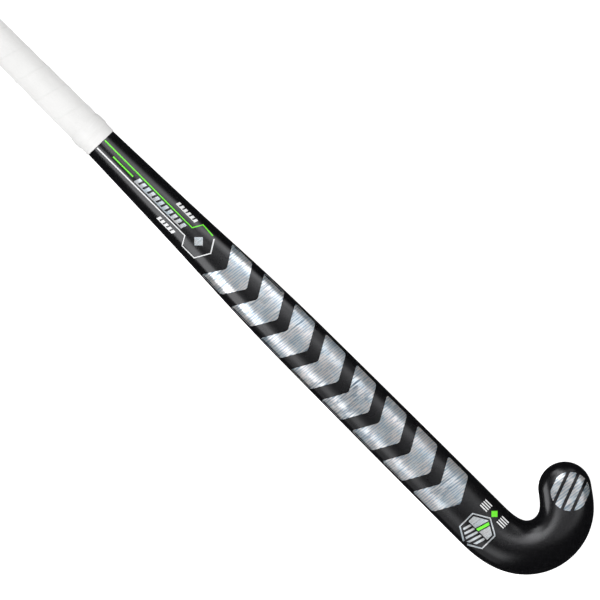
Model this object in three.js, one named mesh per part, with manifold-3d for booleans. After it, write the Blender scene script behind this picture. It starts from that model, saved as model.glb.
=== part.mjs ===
// A composite field hockey stick, lying on its flat playing face with its rounded back up.
// Millimetres, +Z up. +X runs down the stick from the butt to the heel, and the hook turns towards +Y.
// The origin is on the playing face, where the shaft's centreline passes the middle of the hook.
import * as THREE from 'three';
import { mergeVertices } from 'three/addons/utils/BufferGeometryUtils.js';
import Module from 'manifold-3d';

// ---------- Driving dimensions ----------

const STICK_LENGTH = 927; // 36.5 inches from the butt to the heel, along the handle
const BEND_START = -21.3; // where the shaft's centreline begins to turn into the hook
const BEND_RADIUS = 34.4; // tightest radius of the centreline in the hook
const BEND_EASE_IN = 45; // length over which the centreline reaches that radius
const BEND_EASE_OUT = 17.6; // length over which it straightens again
const BEND_TURN = THREE.MathUtils.degToRad(143.4);
const TOE_STRAIGHT = 2.4;
const TOE_RADIUS = 22.7;

const WALL = 2.6; // laminate thickness
const GAP = 0.3; // clearance between pieces that touch
const EDGE_RADIUS = 7; // width of the rounded edge beside the flat face
const EDGE_HEIGHT = 0.34; // height of the widest line above the face, as a share of the depth
const ROUND_EDGE = 0.8; // width of the rounded edge on the round handle, as a share of the half width

const CAP_THICKNESS = 5;
const CAP_ROUND = 2; // length of the rounded outer edge of the cap's rim
const CAP_STEM = 26;
const UNDERLAY = 0.8;
const WRAP = 0.9;
const TAPE = 0.5;
const GRIP_END = -474; // where the finishing tape stops on the shaft
const WRAP_END = -486;
const UNDERLAY_END = -503;
const TAPE_START = -494;
const GRIP_STACK = GAP + UNDERLAY + GAP + WRAP;
const CAP_LIP = GRIP_STACK + 0.4; // how far the cap's rim stands out from the bare handle

// The face is level from FACE_START to the toe. Its slope falls to DIP_SLOPE at DIP_PLACE, then rises
// evenly to the straight handle, which starts at HANDLE_BEND.
const FACE_START = -58;
const DIP_PLACE = -160;
const DIP_SLOPE = -0.135;
const HANDLE_BEND = -450;

const RIB_THICKNESS = 2;
const RIB_START = -600;
const HEAD_CORE_START = -45;

const FOIL = 0.25; // thickness of a printed or foil transfer
const GRAPHIC_LEAN = 0.3; // slant of the bars: distance along the stick for each unit across it

// Sections through the ring of a slice: intervals on the flat face, on each edge and on the back.
const RING = { flat: 2, edge: 3, back: 14 };

// ---------- Curves along the stick ----------

// A smooth curve through a few [position, value] pairs that doesn't overshoot them.
function smoothCurve(keys) {
  const step = keys.slice(1).map(([x, y], i) => (y - keys[i][1]) / (x - keys[i][0]));
  const slope = keys.map((_, i) => {
    if (i === 0) return step[0];
    if (i === keys.length - 1) return step[i - 1];
    const [before, after] = [step[i - 1], step[i]];
    return before * after <= 0 ? 0 : (2 * before * after) / (before + after);
  });
  return (x) => {
    if (x <= keys[0][0]) return keys[0][1];
    if (x >= keys.at(-1)[0]) return keys.at(-1)[1];
    const i = keys.findIndex((key) => key[0] > x) - 1;
    const width = keys[i + 1][0] - keys[i][0];
    const t = (x - keys[i][0]) / width;
    return (
      keys[i][1] * (1 + 2 * t) * (1 - t) ** 2 +
      keys[i + 1][1] * t * t * (3 - 2 * t) +
      slope[i] * width * t * (1 - t) ** 2 +
      slope[i + 1] * width * t * t * (t - 1)
    );
  };
}

const BEND_HOLD = BEND_TURN * BEND_RADIUS - (BEND_EASE_IN + BEND_EASE_OUT) / 2;
const BEND_END = BEND_START + BEND_EASE_IN + BEND_HOLD + BEND_EASE_OUT;
const TOE_START = BEND_END + TOE_STRAIGHT;
const TIP = TOE_START + TOE_RADIUS;

// The centreline's direction at a distance along it. On the shaft that distance is x itself.
function heading(along) {
  const b = along - BEND_START;
  const rest = BEND_END - along;
  if (b <= 0) return 0;
  if (rest <= 0) return BEND_TURN;
  if (b < BEND_EASE_IN) return (b * b) / (2 * BEND_EASE_IN * BEND_RADIUS);
  if (rest < BEND_EASE_OUT) return BEND_TURN - (rest * rest) / (2 * BEND_EASE_OUT * BEND_RADIUS);
  return (b - BEND_EASE_IN / 2) / BEND_RADIUS;
}

const SPINE_STEP = 0.5;
const spinePoints = [new THREE.Vector2(BEND_START, 0)];
for (let along = BEND_START; along < TIP + 5; along += SPINE_STEP) {
  const angle = heading(along + SPINE_STEP / 2);
  const last = spinePoints.at(-1);
  spinePoints.push(new THREE.Vector2(
    last.x + SPINE_STEP * Math.cos(angle),
    last.y + SPINE_STEP * Math.sin(angle),
  ));
}

function spineAt(along) {
  if (along <= BEND_START) return new THREE.Vector2(along, 0);
  const place = (along - BEND_START) / SPINE_STEP;
  const i = Math.min(Math.floor(place), spinePoints.length - 2);
  return spinePoints[i].clone().lerp(spinePoints[i + 1], place - i);
}

const halfWidth = smoothCurve([
  [-870, 12], [-600, 12.3], [-520, 13], [-467, 14.65], [-374, 17.8], [-280, 21.85],
  [-235, 22.85], [BEND_START, 24], [37, 23.1], [BEND_END - 18, 23.2],
  [TOE_START, TOE_RADIUS], [TIP, TOE_RADIUS],
]);
const depth = smoothCurve([
  [-870, 27], [-640, 27.5], [-467, 27], [-374, 25.5], [-255, 23.5],
  [-120, 22.8], [BEND_START, 23.6], [40, 25.5], [TOE_START, 23], [TIP, 23],
]);
const flatness = smoothCurve([[-520, 0], [-400, 0.6], [-280, 1]]);
// Exponent of the back's superellipse: 2 is an ellipse, and more is boxier.
const fullness = smoothCurve([
  [-520, 2], [-400, 2.2], [-290, 2.8], [BEND_START, 2.7], [40, 2.3], [BEND_END - 12, 3.2], [TOE_START, 3.4],
]);

// The heel is the furthest point of the hook's outer edge.
let heel = 0;
for (let along = BEND_START; along < TOE_START; along += 1) {
  heel = Math.max(heel, spineAt(along).x + halfWidth(along) * Math.sin(heading(along)));
}
const CAP_END = heel - STICK_LENGTH;
const BUTT = CAP_END + CAP_THICKNESS;

// Height of the flat face above the floor. The stick rests on its head and on the cap's rim.
const REST_PLACE = CAP_END + CAP_ROUND;
const dipHeight = (-DIP_SLOPE * (FACE_START - DIP_PLACE)) / 2;
const arch = DIP_PLACE - HANDLE_BEND;
const handleSlope = (dipHeight - (DIP_SLOPE * arch) / 2 - CAP_LIP)
  / (HANDLE_BEND - REST_PLACE + arch / 2);
const bendHeight = CAP_LIP + handleSlope * (HANDLE_BEND - REST_PLACE);

function faceHeight(along) {
  if (along >= FACE_START) return 0;
  if (along >= DIP_PLACE) {
    return dipHeight * ((FACE_START - along) / (FACE_START - DIP_PLACE)) ** 2;
  }
  if (along < HANDLE_BEND) return CAP_LIP + handleSlope * Math.max(0, along - REST_PLACE);
  const past = along - HANDLE_BEND;
  return bendHeight + past * THREE.MathUtils.lerp(handleSlope, DIP_SLOPE, past / arch / 2);
}

// ---------- Slices and lofts ----------

// One slice across the stick, as a closed ring of points. A positive inset shrinks it on every side.
// past is how far the slice is past the start of the round toe, where its height falls off all round.
function slice(along, inset, past = 0) {
  const flat = flatness(along);
  const high = depth(along);
  const low = high * THREE.MathUtils.lerp(0.5, EDGE_HEIGHT, flat);
  const full = fullness(along);
  const reach = (past ? TOE_RADIUS : halfWidth(along)) - inset;
  const width = Math.sqrt(reach ** 2 - past ** 2);
  const edge = THREE.MathUtils.lerp(ROUND_EDGE * halfWidth(along), EDGE_RADIUS, flat) - inset;
  const level = reach - edge; // the face is flat as far out as this
  const flatWidth = Math.max(Math.sqrt(Math.max(level ** 2 - past ** 2, 0)), 0.3 * width);
  const above = (across) => {
    const share = Math.min(Math.hypot(across, past) / reach, 1);
    return (high - low - inset) * (1 - share ** full) ** (1 / full);
  };
  const below = (across) => {
    const share = THREE.MathUtils.clamp((Math.hypot(across, past) - level) / edge, 0, 1);
    return (inset - low) * Math.sqrt(1 - share ** 2);
  };
  const edgePlace = (i) => flatWidth + (width - flatWidth) * Math.sin((i / RING.edge) * (Math.PI / 2));
  const places = [];
  for (let i = 0; i < RING.flat; i++) {
    const across = flatWidth * ((2 * i) / RING.flat - 1);
    places.push([across, below(across)]);
  }
  for (let i = 0; i < RING.edge; i++) {
    places.push([edgePlace(i), below(edgePlace(i))]);
  }
  for (let i = 0; i < RING.back; i++) {
    const cosine = Math.cos((i / RING.back) * Math.PI);
    const across = width * Math.sign(cosine) * Math.abs(cosine) ** (2 / full);
    places.push([across, above(across)]);
  }
  for (let i = RING.edge; i > 0; i--) {
    places.push([-edgePlace(i), below(edgePlace(i))]);
  }
  const centre = spineAt(along);
  const angle = heading(along);
  const middle = faceHeight(along) + low;
  return places.map(([across, up]) => new THREE.Vector3(
    centre.x - across * Math.sin(angle),
    centre.y + across * Math.cos(angle),
    middle + up,
  ));
}

// A closed solid through rings of points, capped with a fan at each end.
function skin(rings) {
  const size = rings[0].length;
  const middleOf = (ring) => ring
    .reduce((sum, p) => sum.add(p), new THREE.Vector3())
    .divideScalar(ring.length);
  const points = [...rings.flat(), middleOf(rings[0]), middleOf(rings.at(-1))];
  const first = points.length - 2;
  const last = points.length - 1;
  const end = (rings.length - 1) * size;
  const index = [];
  for (let i = 0; i < size; i++) {
    const next = (i + 1) % size;
    index.push(first, next, i);
    index.push(last, end + i, end + next);
    for (let r = 0; r < rings.length - 1; r++) {
      const a = r * size;
      const b = a + size;
      index.push(a + i, a + next, b + next, a + i, b + next, b + i);
    }
  }
  const positions = new Float32Array(points.flatMap((p) => [p.x, p.y, p.z]));
  return new THREE.BufferGeometry()
    .setAttribute('position', new THREE.BufferAttribute(positions, 3))
    .setIndex(index);
}

const between = (from, to, count) => Array.from(
  { length: count + 1 },
  (_, i) => THREE.MathUtils.lerp(from, to, i / count),
);
const HANDLE_PLACES = between(BUTT, GRIP_END, 8);
const SHAFT_PLACES = between(GRIP_END, BEND_START, 20).slice(1);
const HOOK_PLACES = between(BEND_START, TOE_START, 16).slice(1);
const TOE_ANGLES = [14, 28, 42, 55, 67, 78, 86].map(THREE.MathUtils.degToRad);

// The stick's own shape from one place to another, shrunk by inset. With no end it runs round the toe.
function stickLoft(inset, from, to = Infinity) {
  const places = [...HANDLE_PLACES, ...SHAFT_PLACES, ...HOOK_PLACES]
    .filter((place) => place > from + 1 && place < to - 1);
  const rings = [from, ...places].map((place) => slice(place, inset));
  if (to < Infinity) {
    rings.push(slice(to, inset));
  } else {
    for (const angle of TOE_ANGLES) {
      const past = (TOE_RADIUS - inset) * Math.sin(angle);
      rings.push(slice(TOE_START + past, inset, past));
    }
  }
  return skin(rings);
}

// A sleeve round the handle: [place, inner offset, outer offset] rows, offsets out from the bare handle.
function sleeve(rows) {
  const outside = rows.map(([place, , outer]) => slice(place, -outer));
  const inside = rows.map(([place, inner]) => slice(place, -inner));
  const overrun = 1;
  const shift = (ring, x) => ring.map((p) => p.clone().add(new THREE.Vector3(x, 0, 0)));
  inside.unshift(shift(inside[0], -overrun));
  inside.push(shift(inside.at(-1), overrun));
  return solid(skin(outside)).subtract(solid(skin(inside)));
}

// ---------- Booleans ----------

const wasm = await Module();
wasm.setup();

function solid(geometry) {
  const bare = geometry.clone();
  bare.deleteAttribute('normal');
  bare.deleteAttribute('uv');
  const merged = mergeVertices(bare, 1e-4);
  return new wasm.Manifold(new wasm.Mesh({
    numProp: 3,
    vertProperties: merged.getAttribute('position').array,
    triVerts: new Uint32Array(merged.index.array),
  }));
}

function geometryOf(manifold) {
  const mesh = manifold.getMesh();
  return new THREE.BufferGeometry()
    .setAttribute('position', new THREE.BufferAttribute(mesh.vertProperties, 3))
    .setIndex(new THREE.BufferAttribute(mesh.triVerts, 1));
}

// ---------- Outlines of the graphics, seen from above ----------

// A closed outline with each corner rounded off.
function roundedOutline(corners, radius) {
  const shape = new THREE.Shape();
  corners.forEach((corner, i) => {
    const before = corners.at(i - 1);
    const after = corners[(i + 1) % corners.length];
    const inward = corner.clone().lerp(before, radius / corner.distanceTo(before));
    const onward = corner.clone().lerp(after, radius / corner.distanceTo(after));
    if (i === 0) shape.moveTo(inward.x, inward.y);
    else shape.lineTo(inward.x, inward.y);
    shape.quadraticCurveTo(corner.x, corner.y, onward.x, onward.y);
  });
  return shape;
}

// A line of a given width through points, with mitred corners.
function strokeOutline(points, width) {
  const sideOf = (i) => {
    const into = points[i].clone().sub(points[Math.max(i - 1, 0)]);
    const out = points[Math.min(i + 1, points.length - 1)].clone().sub(points[i]);
    const a = (into.length() ? into : out).clone().normalize();
    const b = (out.length() ? out : into).clone().normalize();
    const across = new THREE.Vector2(-a.y - b.y, a.x + b.x).normalize();
    const mitre = Math.sqrt(2 / (1 + a.dot(b)));
    return across.multiplyScalar((width / 2) * mitre);
  };
  const left = points.map((p, i) => p.clone().add(sideOf(i)));
  const right = points.map((p, i) => p.clone().sub(sideOf(i)));
  return new THREE.Shape([...left, ...right.reverse()]);
}

// Slanted teeth standing on a thin line: a plain hatch where a printed legend would be.
function hatchOutline(from, to, low, high, teeth) {
  const pitch = (to - from) / teeth;
  const rail = 0.18 * (high - low);
  const fill = 0.62;
  const corners = [[from, low]];
  for (let i = 0; i < teeth; i++) {
    const left = from + i * pitch;
    const right = left + fill * pitch;
    const lean = GRAPHIC_LEAN * (high - low);
    corners.push([left, low + rail], [left + lean, high], [right + lean, high], [right, low + rail]);
  }
  corners.push([from + (teeth - 1 + fill) * pitch, low]);
  return new THREE.Shape(corners.map(([x, y]) => new THREE.Vector2(x, y)).reverse());
}

// The part of a disc between two parallel lines, at distances near and far from its centre.
function discBand(centre, radius, turn, near, far) {
  const points = [];
  for (const [from, to] of [[far, near], [near, far]]) {
    const side = from === far ? 1 : -1;
    for (const distance of between(from, to, 4)) {
      points.push(new THREE.Vector2(distance, side * Math.sqrt(radius ** 2 - distance ** 2))
        .rotateAround(new THREE.Vector2(), turn)
        .add(centre));
    }
  }
  return new THREE.Shape(points);
}

const foilLayer = solid(stickLoft(-GAP - FOIL, GRIP_END + 1))
  .subtract(solid(stickLoft(-GAP, GRIP_END)));

// A thin transfer on the back of the stick, cut to an outline. It follows the surface.
function foil(outline, at) {
  const base = faceHeight(at) + EDGE_HEIGHT * depth(at) + 1.5;
  const cutter = new THREE.ExtrudeGeometry(outline, {
    depth: 40,
    bevelEnabled: false,
    curveSegments: 3,
  });
  cutter.translate(0, 0, base);
  return geometryOf(solid(cutter).intersect(foilLayer));
}

// ---------- Pieces ----------

const stick = new THREE.Group();

function addPiece(name, geometry, color, roughness, metalness = 0) {
  const material = new THREE.MeshStandardMaterial({ color, roughness, metalness });
  const mesh = new THREE.Mesh(geometry, material);
  mesh.name = name;
  stick.add(mesh);
}

const BLACK = 0x0b0b0d;
const WHITE = 0xf2f2f0;
const SILVER = 0xc3c9cf;
const GREEN = 0x5ef01e;
const addFoil = (name, outline, at, color, metalness = 0) => {
  addPiece(name, foil(outline, at), color, 0.35, metalness);
};

// The one-piece laminate: hollow, and open at the butt.
const hollow = solid(stickLoft(WALL, BUTT - 1));
addPiece('composite_shell', geometryOf(solid(stickLoft(0, BUTT)).subtract(hollow)), BLACK, 0.3);

// Inside it: foam in the head and in the butt, and the web between them.
const INNER = WALL + GAP;
addPiece('head_core', stickLoft(INNER, HEAD_CORE_START), 0xd9b36a, 0.9);
addPiece(
  'handle_core',
  stickLoft(INNER, BUTT + CAP_STEM + GAP, RIB_START - GAP),
  0xe0c58a,
  0.9,
);
const ribBlank = new THREE.BoxGeometry(HEAD_CORE_START - GAP - RIB_START, RIB_THICKNESS, 80);
ribBlank.translate((HEAD_CORE_START - GAP + RIB_START) / 2, 0, 20);
addPiece(
  'centre_rib',
  geometryOf(solid(stickLoft(INNER, RIB_START - 1, HEAD_CORE_START)).intersect(solid(ribBlank))),
  0x1c1c1e,
  0.5,
);

// The butt cap: a stem inside the handle and a rim as wide as the grip, with a rounded outer edge.
const capRim = [[0, 2.2], [0.6, 0.9], [CAP_ROUND, 0], [CAP_THICKNESS - GAP, 0]]
  .map(([from, shrink]) => slice(CAP_END + from, shrink - CAP_LIP));
addPiece(
  'end_cap',
  geometryOf(solid(skin(capRim)).add(solid(stickLoft(INNER, CAP_END + 2, BUTT + CAP_STEM)))),
  0xe9e9e6,
  0.6,
);

// The grip: a cushion layer, the wrap over it and the tape that closes its lower end.
const GRIP_START = BUTT + GAP;
const gripPlaces = (end) => between(GRIP_START, end, 9);
addPiece(
  'grip_underlay',
  geometryOf(sleeve(gripPlaces(UNDERLAY_END).map((place) => [place, GAP, GAP + UNDERLAY]))),
  0x3a3a3c,
  0.8,
);

// The wrap steps down past the cushion layer's end, where it is wound straight onto the handle.
const WRAP_STEP = UNDERLAY_END + GAP;
const WRAP_LOW = GAP + WRAP + 0.1; // outer offset of the wrap at its lower end
addPiece(
  'grip_wrap',
  geometryOf(sleeve([
    ...gripPlaces(UNDERLAY_END - 27).map((place) => [place, GRIP_STACK - WRAP, GRIP_STACK]),
    [WRAP_STEP, GRIP_STACK - WRAP, GRIP_STACK - 0.3],
    [WRAP_STEP + 0.5, GAP, GRIP_STACK - 0.35],
    [TAPE_START - 1, GAP, WRAP_LOW],
    [WRAP_END, GAP, WRAP_LOW],
  ])),
  WHITE,
  0.75,
);
const TAPE_OVER = WRAP_LOW + GAP;
addPiece(
  'finishing_tape',
  geometryOf(sleeve([
    [TAPE_START, TAPE_OVER, TAPE_OVER + TAPE],
    [WRAP_END + GAP, TAPE_OVER, TAPE_OVER + TAPE],
    [WRAP_END + 3, GAP, TAPE_OVER + 0.5 * TAPE],
    [GRIP_END, GAP, GAP + TAPE],
  ])),
  WHITE,
  0.6,
);

// Eight foil chevrons down the shaft, pointing at the head.
const CHEVRONS = 8;
const CHEVRON_BAND = 24; // width of a chevron's arms along the stick
const CHEVRON_POINT = 12; // how far its point stands ahead of its arms
const CHEVRONS_START = -334.5;
const CHEVRONS_END = -41;
const CHEVRON_TOP = 20.6;
const CHEVRON_BOTTOM = -22.2;
const EDGE_MARGIN = 0.9; // kept clear of the stick's widest line
const CHEVRON_PITCH = (CHEVRONS_END - CHEVRONS_START - CHEVRON_BAND - CHEVRON_POINT) / (CHEVRONS - 1);
for (let i = 0; i < CHEVRONS; i++) {
  const start = CHEVRONS_START + i * CHEVRON_PITCH;
  const top = Math.min(CHEVRON_TOP, halfWidth(start) - EDGE_MARGIN);
  const bottom = Math.max(CHEVRON_BOTTOM, EDGE_MARGIN - halfWidth(start));
  const middle = (top + bottom) / 2;
  const corners = [
    [0, bottom], [CHEVRON_BAND, bottom], [CHEVRON_BAND + CHEVRON_POINT, middle],
    [CHEVRON_BAND, top], [0, top], [CHEVRON_POINT, middle],
  ].map(([x, y]) => new THREE.Vector2(start + x, y));
  addFoil(`shaft_chevron_${i + 1}`, roundedOutline(corners, 2.4), start + CHEVRON_BAND, SILVER, 0.9);
}

// Two fine lines down the neck, which meet in an open hexagon.
const LINE_WIDTH = 0.85;
const NECK_START = GRIP_END + 1.2;
const HEXAGON = new THREE.Vector2(-356, -0.3);
const HEXAGON_RADIUS = 14.5;
const hexagonPoint = (degrees, radius = HEXAGON_RADIUS) => new THREE.Vector2(radius, 0)
  .rotateAround(new THREE.Vector2(), THREE.MathUtils.degToRad(degrees))
  .add(HEXAGON);
const GREEN_LINE_Y = 4;
const WHITE_LINE_Y = -5.1;
const sideX = (y) => HEXAGON.x - HEXAGON_RADIUS + Math.abs(y - HEXAGON.y) / Math.sqrt(3);
addFoil('neck_line_green', strokeOutline([
  new THREE.Vector2(NECK_START, GREEN_LINE_Y),
  new THREE.Vector2(sideX(GREEN_LINE_Y), GREEN_LINE_Y),
  hexagonPoint(120),
  hexagonPoint(66, 12.9),
], LINE_WIDTH), HEXAGON.x - 40, GREEN);
addFoil('neck_line_white', strokeOutline([
  new THREE.Vector2(NECK_START, WHITE_LINE_Y),
  new THREE.Vector2(sideX(WHITE_LINE_Y), WHITE_LINE_Y),
  hexagonPoint(240),
  hexagonPoint(300),
  hexagonPoint(0),
  hexagonPoint(54, 13.3),
], LINE_WIDTH), HEXAGON.x - 40, WHITE);
addFoil('neck_dash_green', strokeOutline([
  new THREE.Vector2(-458, -0.8),
  new THREE.Vector2(-434, -0.8),
], LINE_WIDTH), -446, GREEN);
addFoil('neck_hatch_silver', hatchOutline(-430.5, -372, -3.2, 2.2, 11), -400, SILVER, 0.9);
addFoil('neck_hatch_upper', hatchOutline(-392, -368, 8.4, 11.8, 6), -380, WHITE);
addFoil('neck_hatch_lower', hatchOutline(-395, -375, -11.8, -8.4, 5), -385, WHITE);
addFoil('neck_diamond', new THREE.Shape([[5, 0], [0, 5], [-5, 0], [0, -5]]
  .map(([x, y]) => new THREE.Vector2(x, y).add(HEXAGON))), HEXAGON.x, SILVER, 0.9);

// The badge above the hook: an open hexagon round a green bar between two plates, over slanted stripes.
const BADGE = new THREE.Vector2(-14.6, -6.9);
const BADGE_RADIUS = 15.4;
const BADGE_FRAME = 1.1;
const BADGE_FIELD = 12.9; // radius of the hexagon that the inner pieces fill
const BADGE_SPLIT = 0.5; // half the gap between the plates and the stripes
const badgePoint = (degrees, radius) => new THREE.Vector2(radius, 0)
  .rotateAround(new THREE.Vector2(), THREE.MathUtils.degToRad(degrees))
  .add(BADGE);
addFoil('badge_frame', strokeOutline(
  [262, 210, 150, 90, 30, -30, -82].map((degrees) => badgePoint(
    degrees,
    BADGE_RADIUS * (degrees === 262 || degrees === -82 ? 0.94 : 1),
  )),
  BADGE_FRAME,
), BADGE.x, SILVER, 0.9);

// The part of a convex outline on one side of the line through a point, where side points along keep.
function keepSide(points, through, keep) {
  const distance = (p) => p.clone().sub(through).dot(keep);
  return points.flatMap((p, i) => {
    const next = points[(i + 1) % points.length];
    const here = distance(p);
    const there = distance(next);
    const kept = here >= 0 ? [p] : [];
    return here * there < 0 ? [...kept, p.clone().lerp(next, here / (here - there))] : kept;
  });
}

// A slanted band of the badge's field, between two places along it, above or below its split.
function badgeBand(from, to, upper) {
  const side = upper ? 1 : -1;
  const split = BADGE.clone().add(new THREE.Vector2(0, side * BADGE_SPLIT));
  const along = new THREE.Vector2(1, -GRAPHIC_LEAN).normalize();
  const field = [30, 90, 150, 210, 270, 330].map((degrees) => badgePoint(degrees, BADGE_FIELD));
  const half = keepSide(field, split, new THREE.Vector2(0, side));
  const ahead = keepSide(half, BADGE.clone().add(new THREE.Vector2(from, 0)), along);
  return new THREE.Shape(keepSide(ahead, BADGE.clone().add(new THREE.Vector2(to, 0)), along.negate()));
}

const FIELD_EDGE = 20; // past the field on both sides
addFoil('badge_plate_left', badgeBand(-FIELD_EDGE, -3.2, true), BADGE.x, SILVER, 0.9);
addFoil('badge_bar_green', badgeBand(-2.2, 0.4, true), BADGE.x, GREEN);
addFoil('badge_plate_right', badgeBand(1.4, FIELD_EDGE, true), BADGE.x, SILVER, 0.9);
const STRIPES = 5;
const STRIPE_WIDTH = 2;
const STRIPE_PITCH = 4.1;
const STRIPES_START = -8.4;
for (let i = 0; i < STRIPES; i++) {
  const from = STRIPES_START + i * STRIPE_PITCH;
  addFoil(`badge_stripe_${i + 1}`, badgeBand(from, from + STRIPE_WIDTH, false), BADGE.x, SILVER, 0.9);
}

// Over it, a small diamond between two sets of fine lines.
const MARK = new THREE.Vector2(BADGE.x, 13.6);
addFoil('badge_diamond', new THREE.Shape([[3.6, 0], [0, 3.6], [-3.6, 0], [0, -3.6]]
  .map(([x, y]) => new THREE.Vector2(x, y).add(MARK))), MARK.x, GREEN);
const BADGE_LINES = 4;
const BADGE_LINE_PITCH = 2.1;
const BADGE_LINE_WIDTH = 0.7;
const BADGE_LINE_NEAR = 6; // distances of a line's two ends from the diamond's middle
const BADGE_LINE_FAR = 14;
for (const [name, side] of [['badge_line_left', -1], ['badge_line_right', 1]]) {
  for (let i = 0; i < BADGE_LINES; i++) {
    const y = MARK.y + BADGE_LINE_PITCH * (i - (BADGE_LINES - 1) / 2);
    addFoil(`${name}_${i + 1}`, strokeOutline([
      new THREE.Vector2(MARK.x + side * BADGE_LINE_NEAR, y),
      new THREE.Vector2(MARK.x + side * BADGE_LINE_FAR, y),
    ], BADGE_LINE_WIDTH), MARK.x, WHITE);
  }
}

// The emblem on the head: four slanted bands of a disc.
const EMBLEM = new THREE.Vector2(17.4, 72.6);
const EMBLEM_RADIUS = 16.6;
const EMBLEM_TURN = THREE.MathUtils.degToRad(20);
const EMBLEM_BAND = 5.6;
const EMBLEM_PITCH = 8.4;
for (let i = 0; i < 4; i++) {
  const near = (i - 2) * EMBLEM_PITCH + (EMBLEM_PITCH - EMBLEM_BAND) / 2;
  const band = discBand(EMBLEM, EMBLEM_RADIUS, EMBLEM_TURN, near, near + EMBLEM_BAND);
  addFoil(`head_band_${i + 1}`, band, TOE_START, SILVER, 0.9);
}

export default stick;
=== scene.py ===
"""Looks for the field hockey stick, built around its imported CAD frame.

Lengths are in millimetres until a mesh is written, which is in metres. The stick lies on its flat playing
face: +X runs from the butt to the heel, the hook turns towards +Y, and the rounded back is up.
"""

import math

import bmesh
import bpy
import numpy as np
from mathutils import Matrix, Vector
from mathutils.bvhtree import BVHTree


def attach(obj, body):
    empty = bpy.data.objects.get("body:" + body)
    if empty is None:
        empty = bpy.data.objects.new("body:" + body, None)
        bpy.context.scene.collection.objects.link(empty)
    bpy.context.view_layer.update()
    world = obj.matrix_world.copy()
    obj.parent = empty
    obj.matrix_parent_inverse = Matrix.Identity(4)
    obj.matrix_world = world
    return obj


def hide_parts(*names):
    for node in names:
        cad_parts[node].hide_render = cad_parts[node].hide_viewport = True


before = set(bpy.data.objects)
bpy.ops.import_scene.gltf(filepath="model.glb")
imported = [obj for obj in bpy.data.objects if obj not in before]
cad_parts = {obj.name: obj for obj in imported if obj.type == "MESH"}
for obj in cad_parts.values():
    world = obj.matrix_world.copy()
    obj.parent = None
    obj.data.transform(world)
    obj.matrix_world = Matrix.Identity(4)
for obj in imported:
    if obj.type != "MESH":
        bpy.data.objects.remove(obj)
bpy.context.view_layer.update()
MM = 0.001

# ---------- The stick's dimensions, as the CAD frame has them ----------

STICK_LENGTH = 927
BEND_START = -21.3
BEND_RADIUS = 34.4
BEND_EASE_IN = 45
BEND_EASE_OUT = 17.6
BEND_TURN = math.radians(143.4)
TOE_STRAIGHT = 2.4
TOE_RADIUS = 22.7

WALL = 2.6
GAP = 0.3
EDGE_RADIUS = 7  # width of the face's rounded edges on the shaft
EDGE_HEIGHT = 0.34  # height of the shaft's widest line over its face, as a share of the depth
ROUND_EDGE = 0.8  # width of the rounded edges on the handle, as a share of half its width

CAP_THICKNESS = 5
CAP_ROUND = 2
UNDERLAY = 0.8
WRAP = 0.9
TAPE = 0.5
GRIP_END = -474
WRAP_END = -486
UNDERLAY_END = -503
TAPE_START = -494
GRIP_STACK = GAP + UNDERLAY + GAP + WRAP
CAP_LIP = GRIP_STACK + 0.4

FACE_START = -58  # where the flat face leaves the floor
DIP_PLACE = -160  # where the bow is steepest
DIP_SLOPE = -0.135
HANDLE_BEND = -450  # the handle is straight from here to the butt


def smooth_curve(keys):
    """A smooth curve through a few (position, value) pairs that doesn't overshoot them."""
    xs = np.array([key[0] for key in keys], float)
    ys = np.array([key[1] for key in keys], float)
    step = np.diff(ys) / np.diff(xs)
    slope = np.concatenate([step[:1], np.zeros(len(xs) - 2), step[-1:]])
    for i in range(1, len(xs) - 1):
        before, after = step[i - 1], step[i]
        if before * after > 0:
            slope[i] = 2 * before * after / (before + after)

    def at(x):
        x = np.clip(x, xs[0], xs[-1])
        i = np.clip(np.searchsorted(xs, x, side="right") - 1, 0, len(xs) - 2)
        width = xs[i + 1] - xs[i]
        t = (x - xs[i]) / width
        return (
            ys[i] * (1 + 2 * t) * (1 - t) ** 2
            + ys[i + 1] * t * t * (3 - 2 * t)
            + slope[i] * width * t * (1 - t) ** 2
            + slope[i + 1] * width * t * t * (t - 1)
        )

    return at


BEND_HOLD = BEND_TURN * BEND_RADIUS - (BEND_EASE_IN + BEND_EASE_OUT) / 2
BEND_END = BEND_START + BEND_EASE_IN + BEND_HOLD + BEND_EASE_OUT
TOE_START = BEND_END + TOE_STRAIGHT
TIP = TOE_START + TOE_RADIUS


def heading(along):
    """The centreline's direction at a distance along it. On the shaft that distance is x itself."""
    past = along - BEND_START
    rest = BEND_END - along
    if past <= 0:
        return 0.0
    if rest <= 0:
        return BEND_TURN
    if past < BEND_EASE_IN:
        return past * past / (2 * BEND_EASE_IN * BEND_RADIUS)
    if rest < BEND_EASE_OUT:
        return BEND_TURN - rest * rest / (2 * BEND_EASE_OUT * BEND_RADIUS)
    return (past - BEND_EASE_IN / 2) / BEND_RADIUS


SPINE_STEP = 0.25  # the centreline is added up in steps of this length
SPINE_PLACES = np.arange(BEND_START, TIP + 5, SPINE_STEP)
SPINE_ANGLES = np.array([heading(place + SPINE_STEP / 2) for place in SPINE_PLACES])
SPINE_X = BEND_START + np.concatenate([[0], np.cumsum(SPINE_STEP * np.cos(SPINE_ANGLES))[:-1]])
SPINE_Y = np.concatenate([[0], np.cumsum(SPINE_STEP * np.sin(SPINE_ANGLES))[:-1]])


def spine_at(along):
    """The centreline's x and y at a distance along it."""
    if along <= BEND_START:
        return along, 0.0
    return (
        float(np.interp(along, SPINE_PLACES, SPINE_X)),
        float(np.interp(along, SPINE_PLACES, SPINE_Y)),
    )


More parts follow.
